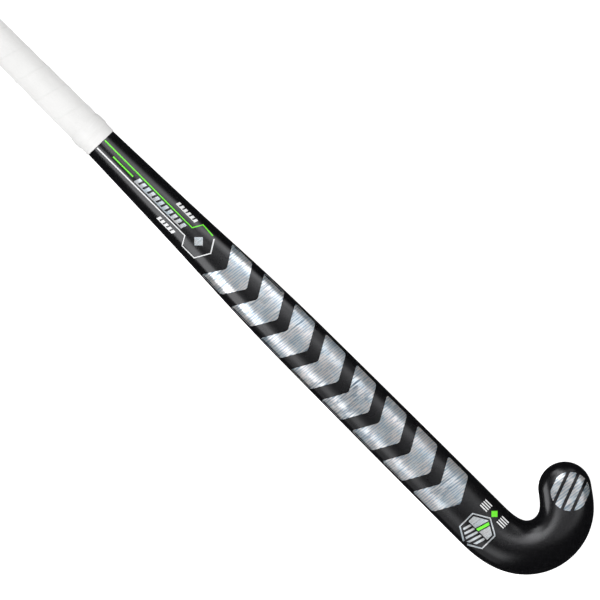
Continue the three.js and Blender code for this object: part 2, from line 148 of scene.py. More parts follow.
# A slice's sizes along the stick: half its width, its depth, how flat its face is (0 where the handle is
# round, 1 on the shaft) and how full its back is (2 is an ellipse, and more is boxier).
half_width = smooth_curve([
    (-870, 12), (-600, 12.3), (-520, 13), (-467, 14.65), (-374, 17.8), (-280, 21.85),
    (-235, 22.85), (BEND_START, 24), (37, 23.1), (BEND_END - 18, 23.2),
    (TOE_START, TOE_RADIUS), (TIP, TOE_RADIUS),
])
depth = smooth_curve([
    (-870, 27), (-640, 27.5), (-467, 27), (-374, 25.5), (-255, 23.5),
    (-120, 22.8), (BEND_START, 23.6), (40, 25.5), (TOE_START, 23), (TIP, 23),
])
flatness = smooth_curve([(-520, 0), (-400, 0.6), (-280, 1)])
fullness = smooth_curve([
    (-520, 2), (-400, 2.2), (-290, 2.8), (BEND_START, 2.7), (40, 2.3),
    (BEND_END - 12, 3.2), (TOE_START, 3.4),
])

HEEL = max(
    spine_at(along)[0] + half_width(along) * math.sin(heading(along))
    for along in np.arange(BEND_START, TOE_START, 1)
)
CAP_END = HEEL - STICK_LENGTH
BUTT = CAP_END + CAP_THICKNESS
REST_PLACE = CAP_END + CAP_ROUND

DIP_HEIGHT = -DIP_SLOPE * (FACE_START - DIP_PLACE) / 2
ARCH = DIP_PLACE - HANDLE_BEND
HANDLE_SLOPE = (DIP_HEIGHT - DIP_SLOPE * ARCH / 2 - CAP_LIP) / (HANDLE_BEND - REST_PLACE + ARCH / 2)
BEND_HEIGHT = CAP_LIP + HANDLE_SLOPE * (HANDLE_BEND - REST_PLACE)


def face_height(along):
    """Height of the flat face above the floor: the stick rests on its head and on the cap's rim."""
    if along >= FACE_START:
        return 0.0
    if along >= DIP_PLACE:
        return DIP_HEIGHT * ((FACE_START - along) / (FACE_START - DIP_PLACE)) ** 2
    if along < HANDLE_BEND:
        return CAP_LIP + HANDLE_SLOPE * max(0, along - REST_PLACE)
    past = along - HANDLE_BEND
    mean_slope = HANDLE_SLOPE + (DIP_SLOPE - HANDLE_SLOPE) * past / ARCH / 2
    return BEND_HEIGHT + past * mean_slope


# ---------- Slices and lofts ----------

# Intervals round a slice: on the flat face, on each rounded edge and on the back.
FLAT_COUNT = 8
EDGE_COUNT = 8
BACK_COUNT = 56
LEAST_FLAT = 0.3  # least share of a slice's width that the flat face's points cover


def section(along, inset=0.0, past=0.0):
    """The sizes of a slice by name. A negative inset makes it larger all round."""
    flat = float(flatness(along))
    high = float(depth(along))
    low = high * (0.5 + (EDGE_HEIGHT - 0.5) * flat)
    reach = (TOE_RADIUS if past else float(half_width(along))) - inset
    edge = ROUND_EDGE * float(half_width(along)) * (1 - flat) + EDGE_RADIUS * flat - inset
    return {
        "full": float(fullness(along)), "reach": reach, "edge": edge, "level": reach - edge, "past": past,
        "width": math.sqrt(reach ** 2 - past ** 2), "rise": high - low - inset, "drop": low - inset,
        "middle": face_height(along) + low,
    }


def above(cut, across):
    """Height of the back over the slice's middle."""
    share = min(math.hypot(across, cut["past"]) / cut["reach"], 1)
    return cut["rise"] * (1 - share ** cut["full"]) ** (1 / cut["full"])


def below(cut, across):
    """Height of the face and its rounded edges under the slice's middle, which is negative."""
    share = (math.hypot(across, cut["past"]) - cut["level"]) / cut["edge"]
    return -cut["drop"] * math.sqrt(1 - min(max(share, 0), 1) ** 2)


def slice_ring(along, inset=0.0, past=0.0):
    """One slice across the stick, as a closed ring of points. A positive inset shrinks it all round.
    past is how far the slice is past the start of the round toe, where its height falls off all round."""
    cut = section(along, inset, past)
    width = cut["width"]
    flat_width = max(math.sqrt(max(cut["level"] ** 2 - past ** 2, 0)), LEAST_FLAT * width)
    places = [flat_width * (2 * i / FLAT_COUNT - 1) for i in range(FLAT_COUNT)]
    sides = [
        flat_width + (width - flat_width) * math.sin(i / EDGE_COUNT * math.pi / 2)
        for i in range(EDGE_COUNT + 1)
    ]
    points = [(across, below(cut, across)) for across in places + sides[:-1]]
    for i in range(BACK_COUNT):
        cosine = math.cos(i / BACK_COUNT * math.pi)
        across = width * math.copysign(abs(cosine) ** (2 / cut["full"]), cosine)
        points.append((across, above(cut, across)))
    points += [(-across, below(cut, across)) for across in sides[:0:-1]]
    x, y = spine_at(along)
    angle = heading(along)
    return np.array([
        (x - across * math.sin(angle), y + across * math.cos(angle), cut["middle"] + up)
        for across, up in points
    ])


def toe_rings(inset, angles):
    """The rings that close the toe, at angles from where it starts towards its tip."""
    pasts = [(TOE_RADIUS - inset) * math.sin(angle) for angle in angles]
    return [slice_ring(TOE_START + past, inset, past) for past in pasts]


def mesh_object(name, bm):
    """A smooth-shaded object from a bmesh in millimetres."""
    bmesh.ops.recalc_face_normals(bm, faces=bm.faces)
    bmesh.ops.scale(bm, vec=(MM, MM, MM), verts=bm.verts)
    mesh = bpy.data.meshes.new(name)
    bm.to_mesh(mesh)
    bm.free()
    mesh.shade_smooth()
    piece = bpy.data.objects.new(name, mesh)
    bpy.context.scene.collection.objects.link(piece)
    return piece


def join_loops(bm, a, b):
    """Joins two rings of vertices with a band of faces."""
    for i in range(len(a)):
        j = (i + 1) % len(a)
        bm.faces.new((a[i], a[j], b[j], b[i]))


def add_rings(bm, rings, closed_start=True, closed_end=True):
    """Joins rings of points into a tube, with a fan over each closed end. Returns its vertices' rings."""
    loops = [[bm.verts.new(point) for point in ring] for ring in rings]
    for a, b in zip(loops, loops[1:]):
        join_loops(bm, a, b)
    for closed, loop in ((closed_start, loops[0]), (closed_end, loops[-1])):
        if not closed:
            continue
        middle = bm.verts.new(np.mean([vert.co[:] for vert in loop], axis=0))
        for i in range(len(loop)):
            bm.faces.new((loop[i], loop[(i + 1) % len(loop)], middle))
    return loops


def mark_sharp(piece, degrees):
    """Keeps a crease where two faces meet at more than an angle."""
    limit = math.radians(degrees)
    bm = bmesh.new()
    bm.from_mesh(piece.data)
    for edge in bm.edges:
        if len(edge.link_faces) == 2 and edge.calc_face_angle() > limit:
            edge.smooth = False
    bm.to_mesh(piece.data)
    bm.free()


# ---------- Material building ----------


class Look:
    """A node material under construction, with short names for the nodes that it uses."""

    def __init__(self, name):
        self.material = bpy.data.materials.new(name)
        self.material.use_nodes = True
        self.tree = self.material.node_tree
        self.shader = self.tree.nodes["Principled BSDF"]
        self.place = self.node("ShaderNodeTexCoord").outputs["Object"]

    def node(self, kind, **settings):
        """A new node with some of its settings."""
        node = self.tree.nodes.new(kind)
        for key, value in settings.items():
            setattr(node, key, value)
        return node

    def link(self, source, target):
        """Joins an output to an input."""
        self.tree.links.new(source, target)

    def set(self, **values):
        """Uniform values of the shader, with _ for each space in an input's name."""
        for key, value in values.items():
            self.shader.inputs[key.replace("_", " ")].default_value = value

    def mapped(self, size, turn=0.0):
        """Object coordinates turned about Z, then counted in units of a size in millimetres."""
        node = self.node("ShaderNodeMapping", vector_type="TEXTURE")
        node.inputs["Rotation"].default_value = (0, 0, turn)
        node.inputs["Scale"].default_value = tuple(MM * value for value in size)
        self.link(self.place, node.inputs["Vector"])
        return node.outputs["Vector"]

    def noise(self, vector, detail, roughness=0.55):
        """Soft noise, whose spots are about a unit wide."""
        node = self.node("ShaderNodeTexNoise")
        node.inputs["Scale"].default_value = 1.0
        node.inputs["Detail"].default_value = detail
        node.inputs["Roughness"].default_value = roughness
        self.link(vector, node.inputs["Vector"])
        return node.outputs["Fac"]

    def waves(self, vector, distortion):
        """Wavy strokes, one to each unit along X."""
        node = self.node("ShaderNodeTexWave", wave_type="BANDS", bands_direction="X")
        node.inputs["Scale"].default_value = math.pi / 10  # puts the node's bands one unit apart
        node.inputs["Distortion"].default_value = distortion
        node.inputs["Detail"].default_value = 2.0
        node.inputs["Detail Scale"].default_value = 1.0
        self.link(vector, node.inputs["Vector"])
        return node.outputs["Fac"]

    def ramp(self, value, *stops):
        """Turns a number into a colour, by stops that are each a number and its colour."""
        node = self.node("ShaderNodeValToRGB")
        while len(node.color_ramp.elements) < len(stops):
            node.color_ramp.elements.new(0.5)
        for element, (position, colour) in zip(node.color_ramp.elements, stops):
            element.position = position
            element.color = (*colour, 1)
        self.link(value, node.inputs["Fac"])
        return node.outputs["Color"]

    def remap(self, value, low, high, to_low, to_high):
        """Turns numbers from low to high into numbers from to_low to to_high."""
        node = self.node("ShaderNodeMapRange")
        for key, number in zip(("From Min", "From Max", "To Min", "To Max"), (low, high, to_low, to_high)):
            node.inputs[key].default_value = number
        self.link(value, node.inputs["Value"])
        return node.outputs["Result"]

    def multiply(self, a, b):
        """Two colours multiplied. A mix node's colour inputs are sockets 6 and 7, and its output is 2."""
        node = self.node("ShaderNodeMix", data_type="RGBA", blend_type="MULTIPLY")
        node.inputs["Factor"].default_value = 1.0
        self.link(a, node.inputs[6])
        self.link(b, node.inputs[7])
        return node.outputs[2]

    def combine(self, operation, a, b):
        """Two numbers or outputs put together by a named operation."""
        node = self.node("ShaderNodeMath", operation=operation)
        for socket, value in zip(node.inputs, (a, b)):
            if isinstance(value, (int, float)):
                socket.default_value = value
            else:
                self.link(value, socket)
        return node.outputs[0]

    def bump(self, height, millimetres, strength):
        """Relief for the shader, whose full height is a number of millimetres."""
        node = self.node("ShaderNodeBump")
        node.inputs["Strength"].default_value = strength
        node.inputs["Distance"].default_value = millimetres * MM
        self.link(height, node.inputs["Height"])
        self.link(node.outputs["Normal"], self.shader.inputs["Normal"])


def lacquer_look():
    """Black clear-coated laminate: a faint weave deep in the coat and very light handling marks."""
    look = Look("black_lacquer")
    across = look.noise(look.mapped((0.9, 8, 8), math.radians(45)), detail=2.0)
    along = look.noise(look.mapped((8, 0.9, 8), math.radians(45)), detail=2.0)
    weave = look.combine("MULTIPLY", across, along)
    look.link(
        look.ramp(weave, (0.16, (0.002, 0.002, 0.0025)), (0.36, (0.005, 0.005, 0.006))),
        look.shader.inputs["Base Color"],
    )
    cloud = look.noise(look.mapped((26, 26, 26)), detail=4.0)
    look.link(look.remap(cloud, 0.3, 0.7, 0.24, 0.29), look.shader.inputs["Roughness"])
    look.bump(look.noise(look.mapped((9, 9, 9)), detail=2.0), 0.02, 0.4)
    look.set(Specular_IOR_Level=0.38, Coat_Weight=1.0, Coat_Roughness=0.2, Coat_IOR=1.45)
    return look.material


STROKE_LEAN = math.radians(-7)


def foil_look(name, pitch, dark):
    """Brushed holographic foil: strokes across the stick, with a faint play of cool and warm greys.
    Strokes are a pitch apart in millimetres, and dark is the colour between them."""
    look = Look(name)
    strokes = look.waves(look.mapped((pitch, 14, 14), STROKE_LEAN), distortion=3.2)
    scratches = look.noise(look.mapped((pitch / 2, 9, 9), STROKE_LEAN), detail=2.0, roughness=0.6)
    broad = look.combine("MULTIPLY", strokes, 0.25)
    fine = look.combine("MULTIPLY", scratches, 0.75)
    hatch = look.combine("ADD", broad, fine)
    grey = look.ramp(hatch, (0.43, dark), (0.48, (0.74, 0.78, 0.82)), (0.54, (1.0, 1.0, 1.0)))
    tint_field = look.noise(look.mapped((14, 6, 14)), detail=1.0)
    tint = look.ramp(
        tint_field, (0.36, (0.86, 0.95, 1.0)), (0.5, (0.98, 1.0, 1.0)), (0.66, (1.0, 0.97, 0.95)),
    )
    look.link(look.multiply(grey, tint), look.shader.inputs["Base Color"])
    look.link(look.remap(hatch, 0.35, 0.65, 0.30, 0.22), look.shader.inputs["Roughness"])
    look.bump(hatch, 0.04, 0.35)
    look.set(Metallic=0.7, Coat_Weight=0.3, Coat_Roughness=0.16)
    return look.material


def ink_look(name, dark, light):
    """Screen-printed ink under the lacquer: a slightly uneven film with a fine grain."""
    look = Look(name)
    film = look.noise(look.mapped((1.4, 1.4, 1.4)), detail=3.0)
    look.link(look.ramp(film, (0.32, dark), (0.68, light)), look.shader.inputs["Base Color"])
    look.link(look.remap(film, 0.3, 0.7, 0.28, 0.4), look.shader.inputs["Roughness"])
    look.bump(look.noise(look.mapped((0.5, 0.5, 0.5)), detail=1.0), 0.01, 0.4)
    look.set(Coat_Weight=0.6, Coat_Roughness=0.22)
    return look.material


def wrap_look():
    """Soft white synthetic wrap: a fine pebbled skin, slightly greyer where hands rub it, with painted
    shade in the hollows between its pebbles.
    """
    look = Look("white_wrap")
    pebble = look.node("ShaderNodeTexVoronoi", feature="F1")
    pebble.inputs["Scale"].default_value = 1.0
    look.link(look.mapped((0.55, 0.55, 0.55)), pebble.inputs["Vector"])
    rub = look.noise(look.mapped((30, 12, 12)), detail=4.0)
    clean = look.ramp(rub, (0.3, (0.835, 0.835, 0.83)), (0.62, (0.87, 0.87, 0.865)))
    # Painted shade: the hollows between the pebbles, which the relief below makes lowest, are up to 7%
    # darker.
    pebble_hollow_shade = look.ramp(pebble.outputs["Distance"], (0.35, (1.0, 1.0, 1.0)), (0.8, (0.93, 0.93, 0.93)))
    look.link(look.multiply(clean, pebble_hollow_shade), look.shader.inputs["Base Color"])
    look.link(look.remap(rub, 0.3, 0.7, 0.62, 0.74), look.shader.inputs["Roughness"])
    look.bump(look.combine("SUBTRACT", 1.0, pebble.outputs["Distance"]), 0.08, 0.5)
    look.set(Specular_IOR_Level=0.35, Sheen_Weight=0.15, Sheen_Roughness=0.4)
    return look.material


def tape_look():
    """Satin white stretch tape: fine lengthwise stretch marks round the stick."""
    look = Look("white_tape")
    stretch = look.noise(look.mapped((0.5, 10, 10)), detail=3.0)
    look.link(
        look.ramp(stretch, (0.3, (0.81, 0.81, 0.805)), (0.7, (0.86, 0.86, 0.855))),
        look.shader.inputs["Base Color"],
    )
    look.link(look.remap(stretch, 0.3, 0.7, 0.38, 0.5), look.shader.inputs["Roughness"])
    look.bump(stretch, 0.06, 0.5)
    return look.material


def rubber_look():
    """Moulded white rubber with a fine spark-eroded grain."""
    look = Look("cap_rubber")
    grain = look.noise(look.mapped((0.35, 0.35, 0.35)), detail=2.0)
    cloud = look.noise(look.mapped((9, 9, 9)), detail=3.0)
    look.link(
        look.ramp(cloud, (0.3, (0.70, 0.70, 0.69)), (0.7, (0.79, 0.79, 0.78))),
        look.shader.inputs["Base Color"],
    )
    look.link(look.remap(grain, 0.3, 0.7, 0.55, 0.7), look.shader.inputs["Roughness"])
    look.bump(grain, 0.05, 0.6)
    return look.material


def foam_look(name, dark, light, cell):
    """A matt cellular surface, for the pieces inside, with painted shade: dark in each cell's pit, where
    the relief is lowest, and light on its rim.
    """
    look = Look(name)
    cells = look.node("ShaderNodeTexVoronoi", feature="F1")
    look.link(look.mapped((cell, cell, cell)), cells.inputs["Vector"])
    cells.inputs["Scale"].default_value = 1.0
    # Painted shade: the colour runs from dark in each cell's pit, where the relief below is lowest, to
    # light on its rim.
    look.link(
        look.ramp(cells.outputs["Distance"], (0.2, dark), (0.8, light)),
        look.shader.inputs["Base Color"],
    )
    look.bump(cells.outputs["Distance"], 0.2, 0.6)
    look.set(Roughness=0.9)
    return look.material


LACQUER = lacquer_look()
FOIL = foil_look("silver_foil", 2.1, (0.15, 0.20, 0.25))
FINE_FOIL = foil_look("fine_silver_foil", 0.7, (0.55, 0.59, 0.63))
GREEN_INK = ink_look("green_ink", (0.13, 0.80, 0.015), (0.19, 0.95, 0.03))
WHITE_INK = ink_look("white_ink", (0.76, 0.77, 0.78), (0.90, 0.91, 0.92))
WRAP_SKIN = wrap_look()
TAPE_SKIN = tape_look()
RUBBER = rubber_look()
UNDERLAY_FOAM = foam_look("underlay_foam", (0.03, 0.03, 0.03), (0.06, 0.06, 0.06), 0.8)
HEAD_FOAM = foam_look("head_foam", (0.55, 0.38, 0.14), (0.72, 0.52, 0.22), 1.2)
HANDLE_FOAM = foam_look("handle_foam", (0.62, 0.48, 0.26), (0.78, 0.63, 0.38), 1.2)
BARE_LAMINATE = foam_look("bare_laminate", (0.02, 0.02, 0.02), (0.045, 0.045, 0.045), 2.5)


def finish_piece(piece, material, slot, *nodes):
    """Gives a piece its material, hangs it on the stick's body and hides the CAD parts that it stands for.
    """
    piece.data.materials.clear()
    piece.data.materials.append(material)
    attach(piece, "root")
    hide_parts(*nodes)


# ---------- The laminate ----------

HANDLE_SLICES = 24
SHAFT_SLICES = 150
HOOK_SLICES = 110
TOE_ANGLES = np.radians([*np.linspace(0, 80, 28)[1:], 82, 84, 86, 87.5, 88.6, 89.4])
INNER_TOE_MARGIN = 2  # the inside's last slice before the toe is at least this far from its start


def build_shell():
    """The one-piece laminate, hollow and open at the butt. Its inside has fewer slices."""
    bm = bmesh.new()
    handle = np.linspace(BUTT, GRIP_END, HANDLE_SLICES)
    shaft = np.linspace(GRIP_END, BEND_START, SHAFT_SLICES)[1:]
    hook = np.linspace(BEND_START, TOE_START, HOOK_SLICES)[1:]
    outer = [slice_ring(place) for place in (*handle, *shaft, *hook)] + toe_rings(0, TOE_ANGLES)
    inner_places = (*handle, *shaft[::6], *hook[::4])
    inner_places = [place for place in inner_places if place < TOE_START - INNER_TOE_MARGIN]
    inner = [slice_ring(place, WALL) for place in inner_places] + toe_rings(WALL, TOE_ANGLES[::3])
    outer_loops = add_rings(bm, outer, closed_start=False)
    inner_loops = add_rings(bm, inner, closed_start=False)
    join_loops(bm, outer_loops[0], inner_loops[0])
    piece = mesh_object("shell_laminate", bm)
    mark_sharp(piece, 60)
    return piece


shell = build_shell()
finish_piece(shell, LACQUER, "lacquered_composite", "composite_shell")

SURFACE = BVHTree.FromPolygons(
    [vert.co.copy() for vert in shell.data.vertices],
    [tuple(face.vertices) for face in shell.data.polygons],
)
RAY_HEIGHT = 0.2  # in metres, well above the stick


def on_back(x, y):
    """The place on the rounded back under a point seen from above, and the way out of the surface."""
    place, normal, _, _ = SURFACE.ray_cast(Vector((x * MM, y * MM, RAY_HEIGHT)), Vector((0, 0, -1)))
    return place, normal


# ---------- Graphics on the back ----------

FILM_TOP = 0.07  # how far a graphic's film stands above the laminate
FILM_DEPTH = 0.06  # how deep it is let in
FILM_CELL = 1.5  # spacing of the mesh that follows the surface
LAST_CELL = 0.3  # least width of the last cell
GRAPHIC_LEAN = 0.3  # how far the slanted graphics lean for each unit of height
HATCH_RAIL = 0.18  # the teeth's line, as a share of their height
HATCH_FILL = 0.62  # a tooth's width, as a share of the pitch
CORNER_COUNT = 6  # points round a corner
ARC_COUNT = 14  # points along the arc at each end of a band


def rounded_outline(corners, radius):
    """A closed outline with each corner rounded off."""
    corners = [Vector(corner) for corner in corners]
    points = []
    for i, corner in enumerate(corners):
        before, after = corners[i - 1], corners[(i + 1) % len(corners)]
        inward = corner.lerp(before, radius / (corner - before).length)
        onward = corner.lerp(after, radius / (corner - after).length)
        for t in np.linspace(0, 1, CORNER_COUNT):
            points.append(inward * (1 - t) ** 2 + corner * 2 * t * (1 - t) + onward * t * t)
    return points


def stroke_outline(points, width):
    """A line of a given width through points, with mitred corners."""
    points = [Vector(point) for point in points]
    left, right = [], []
    for i, point in enumerate(points):
        into = (point - points[max(i - 1, 0)]) or (points[i + 1] - point)
        out = (points[min(i + 1, len(points) - 1)] - point) or into
        a, b = into.normalized(), out.normalized()
        across = Vector((-a.y - b.y, a.x + b.x)).normalized()
        reach = width / 2 * math.sqrt(2 / (1 + a.dot(b)))
        left.append(point + across * reach)
        right.append(point - across * reach)
    return left + right[::-1]


def hatch_outline(start, end, low, high, teeth):
    """Slanted teeth standing on a thin line."""
    pitch = (end - start) / teeth
    rail = HATCH_RAIL * (high - low)
    lean = GRAPHIC_LEAN * (high - low)
    points = [(start, low)]
    for i in range(teeth):
        left = start + i * pitch
        right = left + HATCH_FILL * pitch
        points += [(left, low + rail), (left + lean, high), (right + lean, high), (right, low + rail)]
    points.append((start + (teeth - 1 + HATCH_FILL) * pitch, low))
    return [Vector(point) for point in points]


def disc_band(centre, radius, turn, near, far):
    """The part of a disc between two parallel lines, at distances near and far from its centre."""
    cos = math.cos(turn)
    sin = math.sin(turn)
    points = []
    for start, end, side in ((far, near, 1), (near, far, -1)):
        for distance in np.linspace(start, end, ARC_COUNT):
            height = side * math.sqrt(radius ** 2 - distance ** 2)
            x = centre[0] + distance * cos - height * sin
            y = centre[1] + distance * sin + height * cos
            points.append(Vector((x, y)))
    return points


def film(name, outline, material, slot, node):
    """A thin film cut to an outline and laid on the rounded back."""
    bm = bmesh.new()
    bm.faces.new([bm.verts.new((point[0], point[1], 0)) for point in outline])
    for axis in (0, 1):
        low = min(point[axis] for point in outline)
        high = max(point[axis] for point in outline)
        normal = (1, 0, 0) if axis == 0 else (0, 1, 0)
        for cut in np.arange(low + FILM_CELL, high - LAST_CELL, FILM_CELL):
            bmesh.ops.bisect_plane(
                bm, geom=bm.faces[:] + bm.edges[:] + bm.verts[:],
                plane_co=Vector(normal) * cut, plane_no=normal,
            )
    faces = bm.faces[:]
    verts = bm.verts[:]
    top = {}
    lower = {}
    for vert in verts:
        place, out = on_back(vert.co.x, vert.co.y)
        top[vert] = place / MM + out * FILM_TOP
        lower[vert] = bm.verts.new(place / MM - out * FILM_DEPTH)
    for edge in [edge for edge in bm.edges if len(edge.link_faces) == 1]:
        a, b = edge.verts
        bm.faces.new((a, b, lower[b], lower[a]))
    for face in faces:
        bm.faces.new([lower[vert] for vert in face.verts][::-1])
    for vert in verts:
        vert.co = top[vert]
    piece = mesh_object(name, bm)
    mark_sharp(piece, 50)
    finish_piece(piece, material, slot, node)


CHEVRONS = 8
CHEVRON_BAND = 24
CHEVRON_POINT = 12
CHEVRONS_START = -334.5
CHEVRONS_END = -41
CHEVRON_TOP = 20.6
CHEVRON_BOTTOM = -22.2
CHEVRON_ROUND = 2.4
EDGE_MARGIN = 0.9  # lacquer left between a chevron and the shaft's side
CHEVRON_PITCH = (CHEVRONS_END - CHEVRONS_START - CHEVRON_BAND - CHEVRON_POINT) / (CHEVRONS - 1)


def build_chevrons():
    """Eight rounded foil chevrons along the shaft, kept within its width."""
    for i in range(CHEVRONS):
        start = CHEVRONS_START + i * CHEVRON_PITCH
        top = min(CHEVRON_TOP, half_width(start) - EDGE_MARGIN)
        bottom = max(CHEVRON_BOTTOM, EDGE_MARGIN - half_width(start))
        middle = (top + bottom) / 2
        corners = [
            (0, bottom), (CHEVRON_BAND, bottom), (CHEVRON_BAND + CHEVRON_POINT, middle),
            (CHEVRON_BAND, top), (0, top), (CHEVRON_POINT, middle),
        ]
        outline = rounded_outline([(start + x, y) for x, y in corners], CHEVRON_ROUND)
        film(f"chevron_foil_{i + 1}", outline, FOIL, "silver_foil", f"shaft_chevron_{i + 1}")


LINE_WIDTH = 0.85
NECK_START = GRIP_END + 1.2
HEXAGON = Vector((-356, -0.3))
HEXAGON_RADIUS = 14.5
GREEN_LINE_Y = 4
WHITE_LINE_Y = -5.1
GREEN_END = (66, 12.9)  # direction in degrees and distance from the hexagon's middle
WHITE_END = (54, 13.3)
DASH_START = -458
DASH_END = -434
DASH_Y = -0.8
NECK_DIAMOND_RADIUS = 5


def hexagon_point(degrees, radius=HEXAGON_RADIUS):
    """A point at a direction and distance from the hexagon's middle."""
    angle = math.radians(degrees)
    return HEXAGON + Vector((math.cos(angle), math.sin(angle))) * radius


def side_x(y):
    """Where the hexagon's side nearer the grip is, at a height across the stick."""
    return HEXAGON.x - HEXAGON_RADIUS + abs(y - HEXAGON.y) / math.sqrt(3)


def diamond(centre, radius):
    """A square standing on a corner."""
    return [Vector(centre) + Vector(corner) * radius for corner in ((1, 0), (0, 1), (-1, 0), (0, -1))]


def build_neck_graphics():
    """Two fine lines that run round a hexagon, a green dash, three rows of teeth and a diamond."""
    green = [
        (NECK_START, GREEN_LINE_Y), (side_x(GREEN_LINE_Y), GREEN_LINE_Y),
        hexagon_point(120), hexagon_point(*GREEN_END),
    ]
    white = [
        (NECK_START, WHITE_LINE_Y), (side_x(WHITE_LINE_Y), WHITE_LINE_Y),
        *(hexagon_point(degrees) for degrees in (240, 300, 0)), hexagon_point(*WHITE_END),
    ]
    film("green_line_ink", stroke_outline(green, LINE_WIDTH), GREEN_INK, "green_ink", "neck_line_green")
    film("white_line_ink", stroke_outline(white, LINE_WIDTH), WHITE_INK, "white_ink", "neck_line_white")
    dash = stroke_outline([(DASH_START, DASH_Y), (DASH_END, DASH_Y)], LINE_WIDTH)
    film("green_dash_ink", dash, GREEN_INK, "green_ink", "neck_dash_green")
    # Each row's start, end, low side, high side and number of teeth.
    hatches = (
        ("silver", (-430.5, -372, -3.2, 2.2, 11), FINE_FOIL, "silver_foil"),
        ("upper", (-392, -368, 8.4, 11.8, 6), WHITE_INK, "white_ink"),
        ("lower", (-395, -375, -11.8, -8.4, 5), WHITE_INK, "white_ink"),
    )
    for name, sizes, material, slot in hatches:
        film(f"hatch_{name}_film", hatch_outline(*sizes), material, slot, f"neck_hatch_{name}")
    outline = diamond(HEXAGON, NECK_DIAMOND_RADIUS)
    film("neck_diamond_foil", outline, FINE_FOIL, "silver_foil", "neck_diamond")


BADGE = Vector((-14.6, -6.9))
BADGE_RADIUS = 15.4
BADGE_FRAME = 1.1
BADGE_CORNERS = (262, 210, 150, 90, 30, -30, -82)  # directions in degrees, with the line's two free ends
BADGE_END_REACH = 0.94  # how far out the free ends are, as a share of the radius
BADGE_FIELD = 12.9  # distance from the middle to the field's corners
BADGE_SPLIT = 0.5  # half the gap between its upper and lower parts
FIELD_EDGE = 20  # beyond the field on both sides
STRIPES = 5
STRIPE_WIDTH = 2
STRIPE_PITCH = 4.1
STRIPES_START = -8.4
MARK = Vector((BADGE.x, 13.6))
MARK_RADIUS = 3.6
BADGE_LINES = 4
BADGE_LINE_PITCH = 2.1
BADGE_LINE_WIDTH = 0.7
BADGE_LINE_NEAR = 6
BADGE_LINE_FAR = 14


def badge_point(degrees, radius):
    """A point at a direction and distance from the badge's middle."""
    angle = math.radians(degrees)
    return BADGE + Vector((math.cos(angle), math.sin(angle))) * radius


def keep_side(points, through, keep):
    """The part of a convex outline on one side of the line through a point."""
    kept = []
    for i, point in enumerate(points):
        after = points[(i + 1) % len(points)]
        here, there = (point - through).dot(keep), (after - through).dot(keep)
        if here >= 0:
            kept.append(point)
        if here * there < 0:
            kept.append(point.lerp(after, here / (here - there)))
    return kept


def badge_band(start, end, upper):
    """A slanted band of the badge's field, above or below its split."""
    side = 1 if upper else -1
    along = Vector((1, -GRAPHIC_LEAN)).normalized()
    field = [badge_point(degrees, BADGE_FIELD) for degrees in range(30, 390, 60)]
    half = keep_side(field, BADGE + Vector((0, side * BADGE_SPLIT)), Vector((0, side)))
    ahead = keep_side(half, BADGE + Vector((start, 0)), along)
    return keep_side(ahead, BADGE + Vector((end, 0)), -along)


def badge_rim():
    """The badge's open outline, whose two free ends stop a little short at the bottom."""
    rim = [badge_point(degrees, BADGE_RADIUS) for degrees in BADGE_CORNERS]
    rim[0] = badge_point(BADGE_CORNERS[0], BADGE_RADIUS * BADGE_END_REACH)
    rim[-1] = badge_point(BADGE_CORNERS[-1], BADGE_RADIUS * BADGE_END_REACH)
    return rim


def build_badge():
    """The rim, its upper fields and lower stripes."""
    rim = stroke_outline(badge_rim(), BADGE_FRAME)
    film("badge_frame_foil", rim, FINE_FOIL, "silver_foil", "badge_frame")
    # Each upper field's node, and its start and end along the stick from the badge's middle.
    bands = (
        ("badge_plate_left", -FIELD_EDGE, -3.2, FINE_FOIL, "silver_foil"),
        ("badge_bar_green", -2.2, 0.4, GREEN_INK, "green_ink"),
        ("badge_plate_right", 1.4, FIELD_EDGE, FINE_FOIL, "silver_foil"),
    )
    for node, start, end, material, slot in bands:
        film(f"{node}_film", badge_band(start, end, True), material, slot, node)
    for i in range(STRIPES):
        start = STRIPES_START + i * STRIPE_PITCH
        outline = badge_band(start, start + STRIPE_WIDTH, False)
        film(f"badge_stripe_foil_{i + 1}", outline, FINE_FOIL, "silver_foil", f"badge_stripe_{i + 1}")


def build_badge_mark():
    """The green mark over the badge, and the fine lines on each side of it."""
    film("badge_mark_ink", diamond(MARK, MARK_RADIUS), GREEN_INK, "green_ink", "badge_diamond")
    for name, side in (("left", -1), ("right", 1)):
        for i in range(BADGE_LINES):
            y = MARK.y + BADGE_LINE_PITCH * (i - (BADGE_LINES - 1) / 2)
            ends = [(MARK.x + side * BADGE_LINE_NEAR, y), (MARK.x + side * BADGE_LINE_FAR, y)]
            line = stroke_outline(ends, BADGE_LINE_WIDTH)
            node = f"badge_line_{name}_{i + 1}"
            film(f"badge_line_ink_{name}_{i + 1}", line, WHITE_INK, "white_ink", node)


EMBLEM = Vector((17.4, 72.6))
EMBLEM_RADIUS = 16.6
EMBLEM_TURN = math.radians(20)
EMBLEM_BANDS = 4
EMBLEM_BAND = 5.6
EMBLEM_PITCH = 8.4


def build_emblem():
    """Four slanted foil bands across a disc on the toe."""
    for i in range(EMBLEM_BANDS):
        near = (i - EMBLEM_BANDS / 2) * EMBLEM_PITCH + (EMBLEM_PITCH - EMBLEM_BAND) / 2
        outline = disc_band(EMBLEM, EMBLEM_RADIUS, EMBLEM_TURN, near, near + EMBLEM_BAND)
        film(f"head_band_foil_{i + 1}", outline, FOIL, "silver_foil", f"head_band_{i + 1}")


build_chevrons()
build_neck_graphics()
build_badge()
build_badge_mark()
build_emblem()


# ---------- Grip, finishing tape and butt cap ----------

